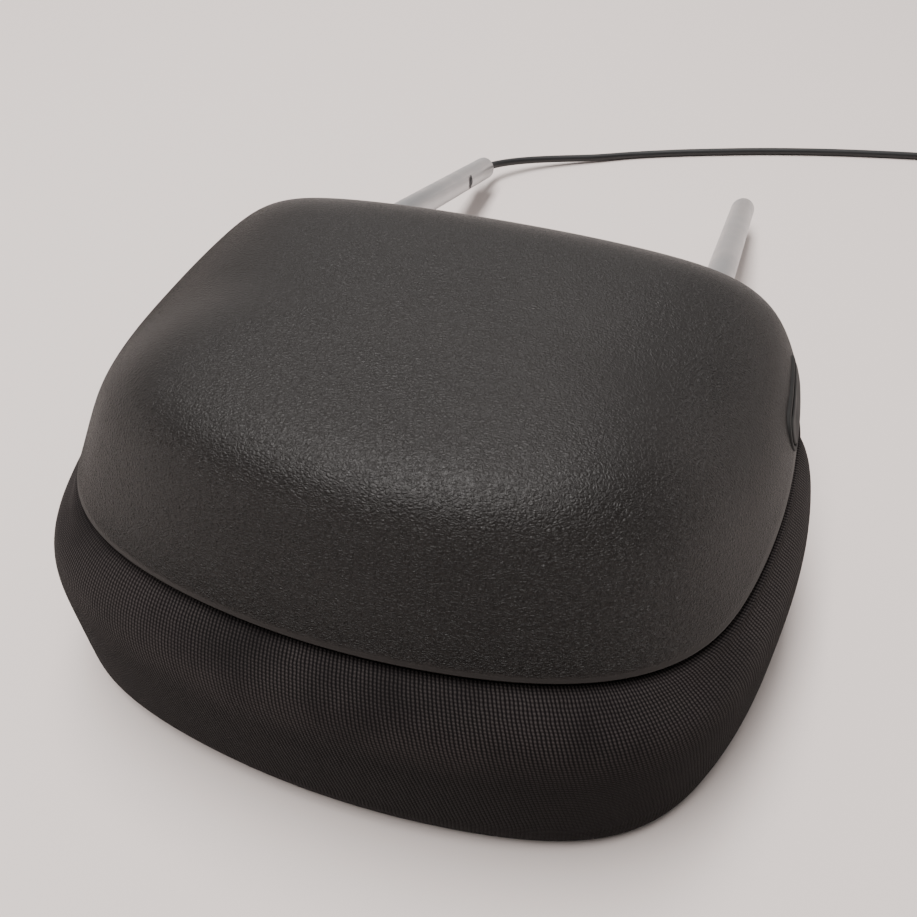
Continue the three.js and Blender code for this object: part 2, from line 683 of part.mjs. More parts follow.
addPiece("rear_shell", rearShell(), "shell");
addPiece("button_bezel", buttonBezel(), "button");
addPiece("side_button", sideButton(), "button");
addPiece("push_rod", pushRod(), "darkSteel");
addPiece("button_spring", buttonSpring(), "darkSteel");
addPiece("lock_pawl", lockPawl(), "darkSteel");
addPiece("pawl_pin", pawlPin(), "steel");
addPiece("pawl_spring", pawlSpring(), "darkSteel");
addPiece("left_post", leftPost(), "steel");
addPiece("right_post", rightPost(), "steel");
addPiece("cross_tube", crossTube(), "steel");
addPiece("base_plate", basePlate(), "carrier");
BOSSES.forEach((place, i) => addPiece(`plate_screw_${i + 1}`, plateScrew(place), "darkSteel"));
[[-1, "left"], [1, "right"]].forEach(([side, name]) => {
  addPiece(`post_collar_${name}`, postCollar(side), "carrier");
  addPiece(`post_clamp_${name}`, postClamp(side), "darkSteel");
  addPiece(`clamp_screw_${name}_1`, clampScrew(side, -1), "darkSteel");
  addPiece(`clamp_screw_${name}_2`, clampScrew(side, 1), "darkSteel");
  addPiece(`guide_bush_${name}`, guideBush(side), "nylon");
  addPiece(`guide_rod_${name}`, guideRod(side), "steel");
  addPiece(`rod_clip_${name}`, rodClip(side), "darkSteel");
});
addPiece("release_actuator", actuator(), "connector");
addPiece("inner_lead", innerLead(), "cable");
addPiece("cable_grommet", cableGrommet(), "rubber");
addPiece("cable_lead", cableLead(), "cable");
addPiece("cable_coil", coilRing(), "cable");
addPiece("cable_tail", cableTail(), "cable");
addPiece("connector_housing", connectorHousing(), "connector");
addPiece("connector_clip", connectorClip(), "connector");
[1, 2].forEach((i) => addPiece(`terminal_${i}`, terminalPin(i), "brass"));
addPiece("cushion_carrier", cushionCarrier(), "carrier");
addPiece("foam_pad", foamPad(), "foam");
addPiece("cushion_cover", coverBowl(), "fabric");
addPiece("ratchet_rack", ratchetRack(), "nylon");

export default headrest;
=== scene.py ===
import json
import math

import bmesh
import bpy
import numpy as np
from mathutils import Matrix, Vector


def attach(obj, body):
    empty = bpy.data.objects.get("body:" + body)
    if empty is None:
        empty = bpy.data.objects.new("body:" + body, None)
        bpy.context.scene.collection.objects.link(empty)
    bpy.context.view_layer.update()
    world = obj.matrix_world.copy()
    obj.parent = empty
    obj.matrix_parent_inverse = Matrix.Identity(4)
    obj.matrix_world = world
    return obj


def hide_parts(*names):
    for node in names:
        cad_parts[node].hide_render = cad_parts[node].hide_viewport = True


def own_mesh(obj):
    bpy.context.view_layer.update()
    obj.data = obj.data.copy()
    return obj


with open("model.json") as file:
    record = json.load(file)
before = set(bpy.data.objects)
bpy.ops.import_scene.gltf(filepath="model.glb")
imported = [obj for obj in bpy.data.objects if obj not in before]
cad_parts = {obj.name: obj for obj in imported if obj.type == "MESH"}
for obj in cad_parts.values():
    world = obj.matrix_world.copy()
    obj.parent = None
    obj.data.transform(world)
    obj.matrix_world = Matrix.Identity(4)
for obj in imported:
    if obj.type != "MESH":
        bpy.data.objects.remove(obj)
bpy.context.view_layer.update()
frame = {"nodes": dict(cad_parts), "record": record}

MM = 0.001

# ---------- driving sizes, in millimetres ----------

SHELL_PLAN = {
    "half": 111.9, "near": 92.0, "far": 82.2, "powers": (6.3, 10.7), "tapers": (0.06, 0.034),
    "side_crown": 0.082, "end_crowns": (0.219, 0.031),
}
CUSHION_PLAN = {
    "half": 121.3, "near": 104.7, "far": 87.6, "powers": (7.5, 4.4), "tapers": (0.054, 0.036),
    "side_crown": 0.131, "end_crowns": (0.166, 0.035),
}
HEAD_SHIFT = -1.1
PARTING_Z = 63.9
PARTING_RISE = 0.052
PARTING_BOW = 5.1
PARTING_BOW_POWER = 2.6
APRON_DROP = 12
APRON_START = 30
APRON_LENGTH = 50
SHELL_RISE = 39.0
SHELL_LEAN = -2.0
SHELL_POWER = 4.0
SHELL_FLARE = 0.144
NEAR_POWER = 12.0
NEAR_FLARE = 0.22
NEAR_START = 17
SHELL_WALL = 3.0
LIP_RADIUS = 0.8
CUSHION_MID_Z = 13.1
CUSHION_POWERS = (8.4, 8.0)
COVER_WALL = 2.0
COVER_COLUMNS = 168
COVER_SWELL = 0.8
HEM = ((1.5, 2.0), (4.4, 2.4), (6.0, 4.4), (6.2, 6.5))
LIP_GAP = 1.8
SKIRT_PLAN = {"half": 96, "near": 69, "far": 73, "powers": (3.0, 4.3), "tapers": (0.07, 0.037),
              "side_crown": 0, "end_crowns": (0, 0)}
TRAY_Z = 43.7
FOAM_TOP = 49.5
FOAM_INSET = 1.2

POST_X = 73.1
POST_RADIUS = 6.0
POST_BORE = 4.4
POST_SLOPE = math.radians(16.2)
POST_TIP = (266.3, 12.95)
POST_LENGTH = 265
POST_HOLE = {"radius": 9, "from_y": 100, "to_y": 70}
NOTCH = {"inward": 42, "outward": 6.8, "half_size": (2.2, 3.0, 8.0)}

CABLE_DIAMETER = 4.0
COIL_CENTRE = (208, 364)
COIL_RADII = (24, 20)
COIL_TURNS = 3.25

BUTTON = {"y": 37, "z": 73, "length": 36, "height": 9, "inner": 98, "proud": 0.5}
BUTTON_HOLE = {"margin": 3.0, "from_x": 92, "to_x": 125}
SPRING = {"seat": 82.4, "end": 97.7, "y": 37, "z": 69.6, "radius": 3.5, "wire": 1.0, "turns": 5}
RIB_PITCH = 1.15
STITCH_PITCH = 0.95
RIB_LEAN = 0.26


# ---------- camera ----------

def add_camera():
    """The viewing angle of the photograph: turned 20 degrees, looking 44 degrees down."""
    turn, pitch, roll = math.radians(20.33), math.radians(44.18), math.radians(-0.906)
    forward = Vector((-math.sin(turn) * math.cos(pitch), math.cos(turn) * math.cos(pitch),
                      -math.sin(pitch)))
    level = Vector((math.cos(turn), math.sin(turn), 0))
    upward = level.cross(forward)
    right = level * math.cos(roll) + upward * math.sin(roll)
    up = upward * math.cos(roll) - level * math.sin(roll)
    data = bpy.data.cameras.new("camera")
    data.sensor_width = 36
    data.lens = 36.62
    data.clip_start = 0.01
    camera = bpy.data.objects.new("camera", data)
    bpy.context.scene.collection.objects.link(camera)
    turned = Matrix((right, up, -forward)).transposed().to_4x4()
    camera.matrix_world = Matrix.Translation(Vector((84.68, -209.5, 267.23)) * MM) @ turned
    bpy.context.scene.camera = camera


add_camera()


# ---------- mesh helpers ----------

def new_object(name, vertices, faces, uv=None, smooth=True):
    """A mesh object from vertices in millimetres; uv is a list of one (u, v) for each face corner."""
    mesh = bpy.data.meshes.new(name)
    mesh.from_pydata([tuple(np.asarray(v) * MM) for v in vertices], [], faces)
    if uv is not None:
        layer = mesh.uv_layers.new(name="weave")
        layer.data.foreach_set("uv", np.asarray(uv, np.float32).ravel())
    mesh.polygons.foreach_set("use_smooth", [smooth] * len(mesh.polygons))
    mesh.update()
    piece = bpy.data.objects.new(name, mesh)
    bpy.context.scene.collection.objects.link(piece)
    return piece


def grid_object(name, rings, first_pole=None, last_pole=None, weave=None, joined=False):
    """A skin through closed rings of points, with a point closing either end.

    weave holds a (u, v) for each ring and column, with one more column to end on the first.
    joined closes the last ring onto the first."""
    rings = [np.asarray(r, float) for r in rings]
    count = len(rings[0])
    vertices = list(np.concatenate(rings))
    faces, uv = [], []
    pairs = list(zip(range(len(rings)), range(1, len(rings))))
    if joined:
        pairs.append((len(rings) - 1, 0))
    for i, k in pairs:
        for j in range(count):
            n = (j + 1) % count
            faces.append((i * count + j, i * count + n, k * count + n, k * count + j))
            if weave is not None:
                uv += [weave[i][j], weave[i][j + 1], weave[k][j + 1], weave[k][j]]
    for ring, pole in ((0, first_pole), (len(rings) - 1, last_pole)):
        if pole is None:
            continue
        vertices.append(np.asarray(pole, float))
        tip = len(vertices) - 1
        for j in range(count):
            n = (j + 1) % count
            corner = (ring * count + j, ring * count + n)
            faces.append((tip, corner[1], corner[0]) if ring == 0 else (tip, corner[0], corner[1]))
            if weave is not None:
                edge = (weave[ring][n], weave[ring][j]) if ring == 0 else (weave[ring][j], weave[ring][n])
                uv += [(0, 0), *edge]
    piece = new_object(name, vertices, faces, uv if weave is not None else None)
    outward(piece)
    return piece


def outward(piece):
    """Turns a closed piece's faces to point out."""
    work = bmesh.new()
    work.from_mesh(piece.data)
    bmesh.ops.recalc_face_normals(work, faces=work.faces)
    if work.calc_volume(signed=True) < 0:
        bmesh.ops.reverse_faces(work, faces=work.faces)
    work.to_mesh(piece.data)
    work.free()


def apply_modifiers(piece):
    """Replaces the piece's mesh by what its modifiers make of it."""
    bpy.context.view_layer.update()
    graph = bpy.context.evaluated_depsgraph_get()
    mesh = bpy.data.meshes.new_from_object(piece.evaluated_get(graph), depsgraph=graph)
    piece.modifiers.clear()
    piece.data = mesh
    return piece


def cut(piece, *cutters):
    """Subtracts closed cutters from a piece and removes them."""
    for cutter in cutters:
        step = piece.modifiers.new("cut", "BOOLEAN")
        step.operation = "DIFFERENCE"
        step.solver = "EXACT"
        step.object = cutter
    apply_modifiers(piece)
    for cutter in cutters:
        bpy.data.objects.remove(cutter)
    return piece


def smooth_by_angle(piece, degrees=40):
    """Smooth shading that keeps edges sharper than the angle."""
    mesh = piece.data
    mesh.polygons.foreach_set("use_smooth", [True] * len(mesh.polygons))
    mesh.set_sharp_from_angle(angle=math.radians(degrees))


def lathe(name, profile, start, direction, sides=64):
    """Turns a profile of (radius, distance) about a line; radius 0 closes an end."""
    axis = np.asarray(direction, float) / np.linalg.norm(direction)
    helper = np.array([1.0, 0, 0]) if abs(axis[0]) < 0.9 else np.array([0, 1.0, 0])
    side = np.cross(axis, helper)
    side /= np.linalg.norm(side)
    other = np.cross(axis, side)
    angles = np.linspace(0, 2 * math.pi, sides, endpoint=False)
    spokes = np.cos(angles)[:, None] * side + np.sin(angles)[:, None] * other
    start = np.asarray(start, float)
    poles = [start + axis * along if radius == 0 else None for radius, along in (profile[0], profile[-1])]
    body = [(radius, along) for radius, along in profile if radius > 0]
    rings = [start + axis * along + spokes * radius for radius, along in body]
    return grid_object(name, rings, poles[0], poles[1], joined=poles[0] is None)


def catmull(points, per_span=14):
    """A smooth line through points: centripetal Catmull-Rom, as the CAD model's tubes follow."""
    points = [np.asarray(p, float) for p in points]
    points = [2 * points[0] - points[1], *points, 2 * points[-1] - points[-2]]
    line = []
    for i in range(1, len(points) - 2):
        p0, p1, p2, p3 = points[i - 1:i + 3]
        t1 = np.linalg.norm(p1 - p0) ** 0.5
        t2 = t1 + np.linalg.norm(p2 - p1) ** 0.5
        t3 = t2 + np.linalg.norm(p3 - p2) ** 0.5
        for t in np.linspace(t1, t2, per_span, endpoint=False):
            a1 = (t1 - t) / t1 * p0 + t / t1 * p1
            a2 = (t2 - t) / (t2 - t1) * p1 + (t - t1) / (t2 - t1) * p2
            a3 = (t3 - t) / (t3 - t2) * p2 + (t - t2) / (t3 - t2) * p3
            b1 = (t2 - t) / t2 * a1 + t / t2 * a2
            b2 = (t3 - t) / (t3 - t1) * a2 + (t - t1) / (t3 - t1) * a3
            line.append((t2 - t) / (t2 - t1) * b1 + (t - t1) / (t2 - t1) * b2)
    line.append(points[-2])
    return np.array(line)


def round_tube(name, line, diameter, sides=16):
    """A round cord along a line of points in millimetres, with each ring turned as little as it can be."""
    line = np.asarray(line, float)
    ways = np.gradient(line, axis=0)
    ways /= np.linalg.norm(ways, axis=1, keepdims=True)
    angles = np.linspace(0, 2 * math.pi, sides, endpoint=False)
    side = np.cross(ways[0], (0, 0, 1))
    rings = []
    for place, way in zip(line, ways):
        side = side - way * side.dot(way)
        side /= np.linalg.norm(side)
        spokes = np.cos(angles)[:, None] * side + np.sin(angles)[:, None] * np.cross(way, side)
        rings.append(place + spokes * diameter / 2)
    return grid_object(name, rings, line[0], line[-1])


# ---------- cable ----------

def on_post(side, inward, above=0):
    """A point of a post's axis, at a distance in from the tip."""
    back = inward * math.cos(POST_SLOPE) - above * math.sin(POST_SLOPE)
    up = inward * math.sin(POST_SLOPE) + above * math.cos(POST_SLOPE)
    return np.array([side * POST_X, POST_TIP[0] - back, POST_TIP[1] + up])


CABLE_ROUTE = [
    on_post(-1, 2), [-72.6, 272, 11.2], [-70.6, 279, 9.4], [-64, 288.5, 7.6], [-52.9, 298.8, 5.8],
    [-38, 309, 4.1], [-20, 319.4, 2.7], [2.6, 332.3, 2], [26, 342.8, 2], [49, 351.9, 2], [72, 360.3, 2],
    [95, 367.6, 2], [118, 374, 2], [141, 379.5, 2], [163, 384.1, 2], [185, 387.4, 2], [208, 388, 2],
]
TAIL_ROUTE = [[232, 364, 6], [232, 356, 5.8], [232, 349, 5], [232, 342, 4.6], [232, 334.6, 4.5]]


def coil_line():
    """Two turns in on the table, then out again on top of them, clockwise."""
    line = []
    outer, inner = COIL_RADII
    steps = int(COIL_TURNS * 48)
    turn_back = 2.0
    for i in range(1, steps):
        turns = COIL_TURNS * i / steps
        climb = min(max((turns - turn_back + 0.2) / 0.4, 0), 1)
        climb = climb * climb * (3 - 2 * climb)
        spiral = turns / turn_back if turns < turn_back else (COIL_TURNS - turns) / (COIL_TURNS - turn_back)
        radius = outer + (inner - outer) * min(max(spiral, 0), 1)
        angle = math.pi / 2 - 2 * math.pi * turns
        height = CABLE_DIAMETER * (0.5 + climb)
        x = COIL_CENTRE[0] + radius * math.cos(angle)
        y = COIL_CENTRE[1] + radius * math.sin(angle)
        line.append([x, y, height])
    return np.array(line)


def add_cable():
    line = np.concatenate([catmull(CABLE_ROUTE), coil_line(), catmull(TAIL_ROUTE)])
    cable = round_tube("cable", line, CABLE_DIAMETER)
    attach(cable, "frame")
    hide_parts("cable_lead", "cable_coil", "cable_tail")
    return cable


cable = add_cable()


# ---------- shape of the head ----------

def smoothstep(t):
    t = np.clip(t, 0, 1)
    return t * t * (3 - 2 * t)


def parting_height(x, y):
    bow = 1 - np.abs(x / SHELL_PLAN["half"]) ** PARTING_BOW_POWER
    return PARTING_Z + PARTING_RISE * y + PARTING_BOW * bow


def apron_drop(y):
    return APRON_DROP * smoothstep((y - APRON_START) / APRON_LENGTH)


def far_share(angle):
    """How much of the far end's shape an outline has at an angle."""
    return 1 / (1 + np.exp(-6 * np.sin(angle)))


def between(pair, share):
    return pair[0] + (pair[1] - pair[0]) * share


def taper_scale(plan, share, y):
    """How much wider an outline is at a distance along the head."""
    return 1 + between(plan["tapers"], share) * y * 2 / (plan["near"] + plan["far"])


def plan_line(plan, angle, inset=0.0):
    """Points of an outline with round corners and crowned sides, pulled in by an inset."""
    share = far_share(angle)
    power = between(plan["powers"], share)
    c, s = np.cos(angle), np.sin(angle)
    radius = (np.abs(c) ** power + np.abs(s) ** power) ** (-1 / power)
    across, along = c * radius, s * radius
    reach = np.where(s > 0, plan["far"], plan["near"]) - inset
    x = (plan["half"] - inset) * across * taper_scale(plan, share, reach * along)
    y = reach * along * (1 - between(plan["end_crowns"], share) * across ** 2)
    return HEAD_SHIFT + x * (1 - plan["side_crown"] * along ** 2), y


def even_angles(plan, count):
    """Angles whose outline points are evenly spaced."""
    dense = np.linspace(0, 2 * math.pi, 4001)
    x, y = plan_line(plan, dense)
    run = np.concatenate([[0], np.cumsum(np.hypot(np.diff(x), np.diff(y)))])
    return np.interp(np.linspace(0, run[-1], count, endpoint=False), run, dense)


def shell_profile(share, nearness=0.0):
    """How far in a ring of the shell lies for its share of the height.

    The near side slopes up to a firm crest."""
    power = SHELL_POWER + (NEAR_POWER - SHELL_POWER) * nearness
    flare = SHELL_FLARE + (NEAR_FLARE - SHELL_FLARE) * nearness
    return (1 - share ** power) ** (1 / power) * (1 - flare * share)


def shell_ring(angles, share, inset=0.0):
    """A ring of the shell's skin; share goes from 0 at the edge to 1 at the crown."""
    x, y = plan_line(SHELL_PLAN, angles, inset)
    nearness = np.clip((NEAR_START - y) / (NEAR_START + SHELL_PLAN["near"]), 0, 1) ** 2
    spread = shell_profile(share, nearness)
    levelled = share ** 10
    base = parting_height(x, y) * (1 - levelled) + (PARTING_Z + PARTING_BOW) * levelled
    rise = (SHELL_RISE - inset) * share
    across = HEAD_SHIFT + (x - HEAD_SHIFT) * spread
    return np.stack([across, y * spread + SHELL_LEAN * share, base + rise], 1)


def shell_edge(angles, inset=0.0, above=0.0):
    x, y = plan_line(SHELL_PLAN, angles, inset)
    return np.stack([x, y, parting_height(x, y) - apron_drop(y) + above], 1)


def shell_surface_x(y, z):
    """X of the shell's outer skin on its +X side past NEAR_START, found by repeated correction."""
    across = np.ones_like(y)
    for _ in range(25):
        share = np.clip((z - PARTING_Z - PARTING_RISE * y) / (SHELL_RISE + PARTING_BOW), 0.001, 0.999)
        spread = shell_profile(share)
        plan_y = (y - SHELL_LEAN * share) / spread
        reach = np.where(plan_y > 0, SHELL_PLAN["far"], SHELL_PLAN["near"])
        far = 1 / (1 + np.exp(-6 * plan_y / np.hypot(plan_y, SHELL_PLAN["half"])))
        along = plan_y / reach / (1 - between(SHELL_PLAN["end_crowns"], far) * across ** 2)
        power = between(SHELL_PLAN["powers"], far)
        across = (1 - np.clip(np.abs(along), 0, 0.99) ** power) ** (1 / power)
    x = SHELL_PLAN["half"] * across * taper_scale(SHELL_PLAN, far, reach * along)
    return HEAD_SHIFT + x * (1 - SHELL_PLAN["side_crown"] * along ** 2) * spread


# ---------- rear shell ----------

def stadium(length, height, count=96):
    """A stadium outline in Y and Z about the button's middle."""
    radius = height / 2
    straight = length / 2 - radius
    perimeter = 4 * straight + 2 * math.pi * radius
    points = []
    for i in range(count):
        d = perimeter * i / count
        if d < 2 * straight:
            points.append((-straight + d, -radius))
            continue
        d -= 2 * straight
        if d < math.pi * radius:
            a = -math.pi / 2 + d / radius
            points.append((straight + radius * math.cos(a), radius * math.sin(a)))
            continue
        d -= math.pi * radius
        if d < 2 * straight:
            points.append((straight - d, radius))
            continue
        a = math.pi / 2 + (d - 2 * straight) / radius
        points.append((-straight + radius * math.cos(a), radius * math.sin(a)))
    return np.array(points)


def stadium_bar(name, length, height, from_x, to_x):
    outline = stadium(length, height)
    middle = (BUTTON["y"], BUTTON["z"])
    rings = [np.column_stack([np.full(len(outline), x), outline + middle]) for x in (from_x, to_x)]
    return grid_object(name, rings, (from_x, *middle), (to_x, *middle))


def rounded_lip(angles):
    """Rings round the shell's lower edge, from the slope of its wall at each angle to its inner side."""
    low, high = shell_ring(angles, 0.02), shell_ring(angles, 0.06)
    lean = np.hypot(*(low[:, :2] - (HEAD_SHIFT, 0)).T) - np.hypot(*(high[:, :2] - (HEAD_SHIFT, 0)).T)
    slope = lean / (high[:, 2] - low[:, 2])
    slope = slope * (1 - apron_drop(low[:, 1]) / APRON_DROP)
    start = np.arctan(slope)
    middle = LIP_RADIUS * (slope + np.hypot(1, slope))
    rings = []
    for share in np.linspace(0, 1, 10):
        turn = start + (-math.pi / 2 - start) * share
        inset = middle - LIP_RADIUS * np.cos(turn)
        rings.append(shell_edge(angles, inset, LIP_RADIUS * (1 + np.sin(turn))))
    rings.append(shell_edge(angles, SHELL_WALL + middle - LIP_RADIUS, LIP_RADIUS * 0.4))
    return rings


def add_shell():
    angles = even_angles(SHELL_PLAN, 320)
    turns = np.radians(np.linspace(89, 1.5, 54))
    outer = [shell_ring(angles, math.sin(turn) ** 0.8) for turn in turns]
    lip = rounded_lip(angles)
    top, bottom = outer[-1], lip[0]
    lip = [top + (bottom - top) * share for share in (0.25, 0.5, 0.75)] + lip
    inner = [shell_ring(angles, share, SHELL_WALL) for share in np.linspace(0.03, 0.985, 24)]
    crown = PARTING_Z + PARTING_BOW + SHELL_RISE
    shell = grid_object("shell_skin", outer + lip + inner, (HEAD_SHIFT, SHELL_LEAN, crown),
                        (HEAD_SHIFT, SHELL_LEAN, crown - SHELL_WALL))
    margin = BUTTON_HOLE["margin"]
    cutters = [stadium_bar("button_cut", BUTTON["length"] + margin, BUTTON["height"] + margin,
                           BUTTON_HOLE["from_x"], BUTTON_HOLE["to_x"])]
    for side in (-1, 1):
        start = on_post(side, (POST_TIP[0] - POST_HOLE["from_y"]) / math.cos(POST_SLOPE))
        end = on_post(side, (POST_TIP[0] - POST_HOLE["to_y"]) / math.cos(POST_SLOPE))
        reach = np.linalg.norm(end - start)
        radius = POST_HOLE["radius"]
        bar = [(0, 0), (radius, 0), (radius, reach), (0, reach)]
        cutters.append(lathe("post_cut", bar, start, end - start))
    cut(shell, *cutters)
    smooth_by_angle(shell, 50)
    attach(shell, "frame")
    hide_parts("rear_shell")
    return shell


# ---------- side button ----------

def skin_ring(outline, proud):
    """Points over the shell's side at an outline in Y and Z, standing proud of it."""
    y = outline[:, 0] + BUTTON["y"]
    z = outline[:, 1] + BUTTON["z"]
    return np.column_stack([shell_surface_x(y, z) + proud, y, z])


def add_button():
    length, height = BUTTON["length"], BUTTON["height"]
    rings = []
    base = stadium(length, height)
    foot = skin_ring(base, 0)
    foot[:, 0] = BUTTON["inner"]
    rings.append(foot)
    rings.append(skin_ring(base, 0.2))
    for turn in np.radians([0, 22, 45, 67, 90]):
        shrink = 0.9 * (1 - math.cos(turn))
        outline = stadium(length - 2 * shrink, height - 2 * shrink)
        rings.append(skin_ring(outline, BUTTON["proud"] - 0.9 * (1 - math.sin(turn))))
    for share in (0.8, 0.55, 0.3, 0.1):
        outline = stadium(length - 1.8, height - 1.8) * (1 - (1 - share) * 0.55, share)
        rings.append(skin_ring(outline, BUTTON["proud"] - 0.5 * (1 - share)))
    middle = (BUTTON["y"], BUTTON["z"])
    top = float(shell_surface_x(np.array([middle[0]]), np.array([middle[1]]))[0])
    button = grid_object("button_cap", rings, (BUTTON["inner"], *middle),
                         (top + BUTTON["proud"] - 0.5, *middle))
    smooth_by_angle(button, 60)
    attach(button, "button")
    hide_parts("side_button")
    return button


def add_bezel():
    """A thin rounded frame between the button and the shell."""
    rings = []
    gap, width, depth = 0.45, 1.5, 9.0
    length, height = BUTTON["length"], BUTTON["height"]
    section = [(gap, -depth), (gap, -0.1), (gap + 0.15, 0.1), (gap + 0.45, 0.2), (gap + width - 0.45, 0.2),
               (gap + width - 0.15, 0.1), (gap + width, -0.1), (gap + width, -depth)]
    for out, proud in section:
        ring = skin_ring(stadium(length + 2 * out, height + 2 * out), max(proud, -2))
        if proud < -2:
            ring[:, 0] += proud + 2
        rings.append(ring)
    bezel = grid_object("button_frame", rings, joined=True)
    smooth_by_angle(bezel, 60)
    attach(bezel, "frame")
    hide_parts("button_bezel")
    return bezel


def add_button_spring():
    """The spring round the push rod, built at one length; the real one shortens as the button goes in."""
    steps = 24 * SPRING["turns"]
    angles = np.linspace(0, 2 * math.pi * SPRING["turns"], steps + 1)
    x = np.linspace(SPRING["seat"] + SPRING["wire"] / 2, SPRING["end"] - SPRING["wire"] / 2, steps + 1)
    y = SPRING["y"] + SPRING["radius"] * np.cos(angles)
    z = SPRING["z"] + SPRING["radius"] * np.sin(angles)
    spring = round_tube("spring_coil", np.column_stack([x, y, z]), SPRING["wire"], sides=10)
    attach(spring, "frame")
    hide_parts("button_spring")
    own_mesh(spring)
    return spring


# ---------- cushion ----------

def cushion_ring(angles, turn):
    """A ring of the cover's outer skin.

    turn goes from straight down, past the widest line at 0, to straight up."""
    power_out, power_up = CUSHION_POWERS
    c, s = math.cos(turn), abs(math.sin(turn))
    low, high = 0.5, 1.6
    for _ in range(40):
        radius = (low + high) / 2
        if (c * radius) ** power_out + (s * radius) ** power_up > 1:
            high = radius
        else:
            low = radius
    spread, share = c * radius, s * radius
    x, y = plan_line(CUSHION_PLAN, angles)
    if turn < 0:
        return np.stack([x * spread, y * spread, np.full_like(x, CUSHION_MID_Z * (1 - share))], 1)
    top = parting_height(x, y * spread) - apron_drop(y * spread)
    return np.stack([x * spread, y * spread, CUSHION_MID_Z + (top - CUSHION_MID_Z) * share], 1)


def nearest_angles(plan, x, y):
    """Angles of an outline's points that are nearest to given points."""
    dense = np.linspace(0, 2 * math.pi, 12000, endpoint=False)
    near_x, near_y = plan_line(plan, dense)
    gaps = (x[:, None] - near_x) ** 2 + (y[:, None] - near_y) ** 2
    return dense[gaps.argmin(1)]


def cushion_profile():
    """Rings of the cover's outer skin.

    They go from the middle of the face, round the side and in under the shell's edge."""
    angles = even_angles(CUSHION_PLAN, COVER_COLUMNS)
    x, y = plan_line(CUSHION_PLAN, angles)
    edge_angles = nearest_angles(SHELL_PLAN, x, y)
    face = cushion_ring(angles, math.radians(-88))[:, :2].max() / x.max()
    rings = [np.column_stack([x * s, y * s, 0 * x]) for s in np.linspace(0.06, face * 0.4, 4)]
    rings += [cushion_ring(angles, turn) for turn in np.radians(np.linspace(-88, -2, 22))]
    rings += [cushion_ring(angles, turn) for turn in np.radians(np.linspace(1.5, 44, 17))]
    last = rings[-1]
    rim = shell_edge(edge_angles, -1.2, -LIP_GAP - 0.8)
    for share in (0.25, 0.5, 0.75, 1.0):
        rings.append(last + (rim - last) * (share, share, 1 - (1 - share) ** 1.6))
    for inset, drop in HEM:
        rings.append(shell_edge(edge_angles, inset, -drop))
    return rings


def weave_places(rings):
    """Rib and stitch counts at each ring and column.

    On the face the ribs are straight. Up the side each starts square to the widest line, and over the
    bulge's top they all lean the same way."""
    dense = np.linspace(0, 2 * math.pi, 6001)
    wide_x, wide_y = plan_line(CUSHION_PLAN, dense)
    run = np.concatenate([[0], np.cumsum(np.hypot(np.diff(wide_x), np.diff(wide_y)))])
    ribs = round(run[-1] / RIB_PITCH)
    steps = [np.linalg.norm(b - a, axis=1).mean() for a, b in zip(rings, rings[1:])]
    along = np.concatenate([[0], np.cumsum(steps)])
    widest = max(range(len(rings)), key=lambda i: np.ptp(rings[i][:, 0]))
    weave = []
    for ring, height in zip(rings, along):
        if ring[:, 2].max() < 0.1:
            across, down = ring[:, 0] / RIB_PITCH, ring[:, 1] / STITCH_PITCH
            weave.append(list(zip([*across, across[0]], [*down, down[0]])))
            continue
        gaps = (ring[:, :1] - wide_x) ** 2 + (ring[:, 1:2] - wide_y) ** 2
        round_it = run[gaps.argmin(1)] / run[-1]
        round_it[0] -= round(round_it[0])
        lean = RIB_LEAN * max(height - along[widest], 0) / RIB_PITCH
        columns = np.append(round_it, round_it[0] + 1) * ribs + lean
        weave.append([(column, height / STITCH_PITCH) for column in columns])
    return weave


def evened(move, passes=60):
    """Averages a movement along each ring of the cover, so that no wrinkles stay in it."""
    rings = move[:-1].reshape(-1, COVER_COLUMNS, 3)
    for _ in range(passes):
        rings = (np.roll(rings, 1, 1) + 2 * rings + np.roll(rings, -1, 1)) / 4
    return np.concatenate([rings.reshape(-1, 3), move[-1:]])


def swell(cover, pinned):
    """Blows the cover up like cloth over foam, and keeps a small part of that.

    The hem and the resting face are held."""
    rest = np.array([v.co for v in cover.data.vertices])
    group = cover.vertex_groups.new(name="held")
    for index, weight in pinned.items():
        group.add([index], weight, "REPLACE")
    step = cover.modifiers.new("cloth", "CLOTH")
    cloth = step.settings
    cloth.quality = 4
    cloth.mass = 0.3
    cloth.tension_stiffness = 6
    cloth.compression_stiffness = 6
    cloth.shear_stiffness = 3
    cloth.bending_stiffness = 0.5
    cloth.air_damping = 2
    cloth.use_pressure = True
    cloth.uniform_pressure_force = 30
    cloth.vertex_group_mass = "held"
    cloth.effector_weights.gravity = 0
    step.collision_settings.use_collision = False
    step.point_cache.frame_start = 1
    step.point_cache.frame_end = 20
    scene = bpy.context.scene
    for number in range(1, 21):
        scene.frame_set(number)
    graph = bpy.context.evaluated_depsgraph_get()
    blown = np.array([v.co for v in cover.evaluated_get(graph).data.vertices])
    cover.modifiers.remove(step)
    cover.vertex_groups.remove(group)
    scene.frame_set(1)
    move = evened((blown - rest) / MM)
    size = np.linalg.norm(move, axis=1, keepdims=True)
    kept = move / np.maximum(size, 1e-6) * COVER_SWELL * np.tanh(size / COVER_SWELL)
    place = rest + kept * MM
    place[:, 2] = np.maximum(place[:, 2], 0)
    cover.data.vertices.foreach_set("co", place.ravel())
    cover.data.update()


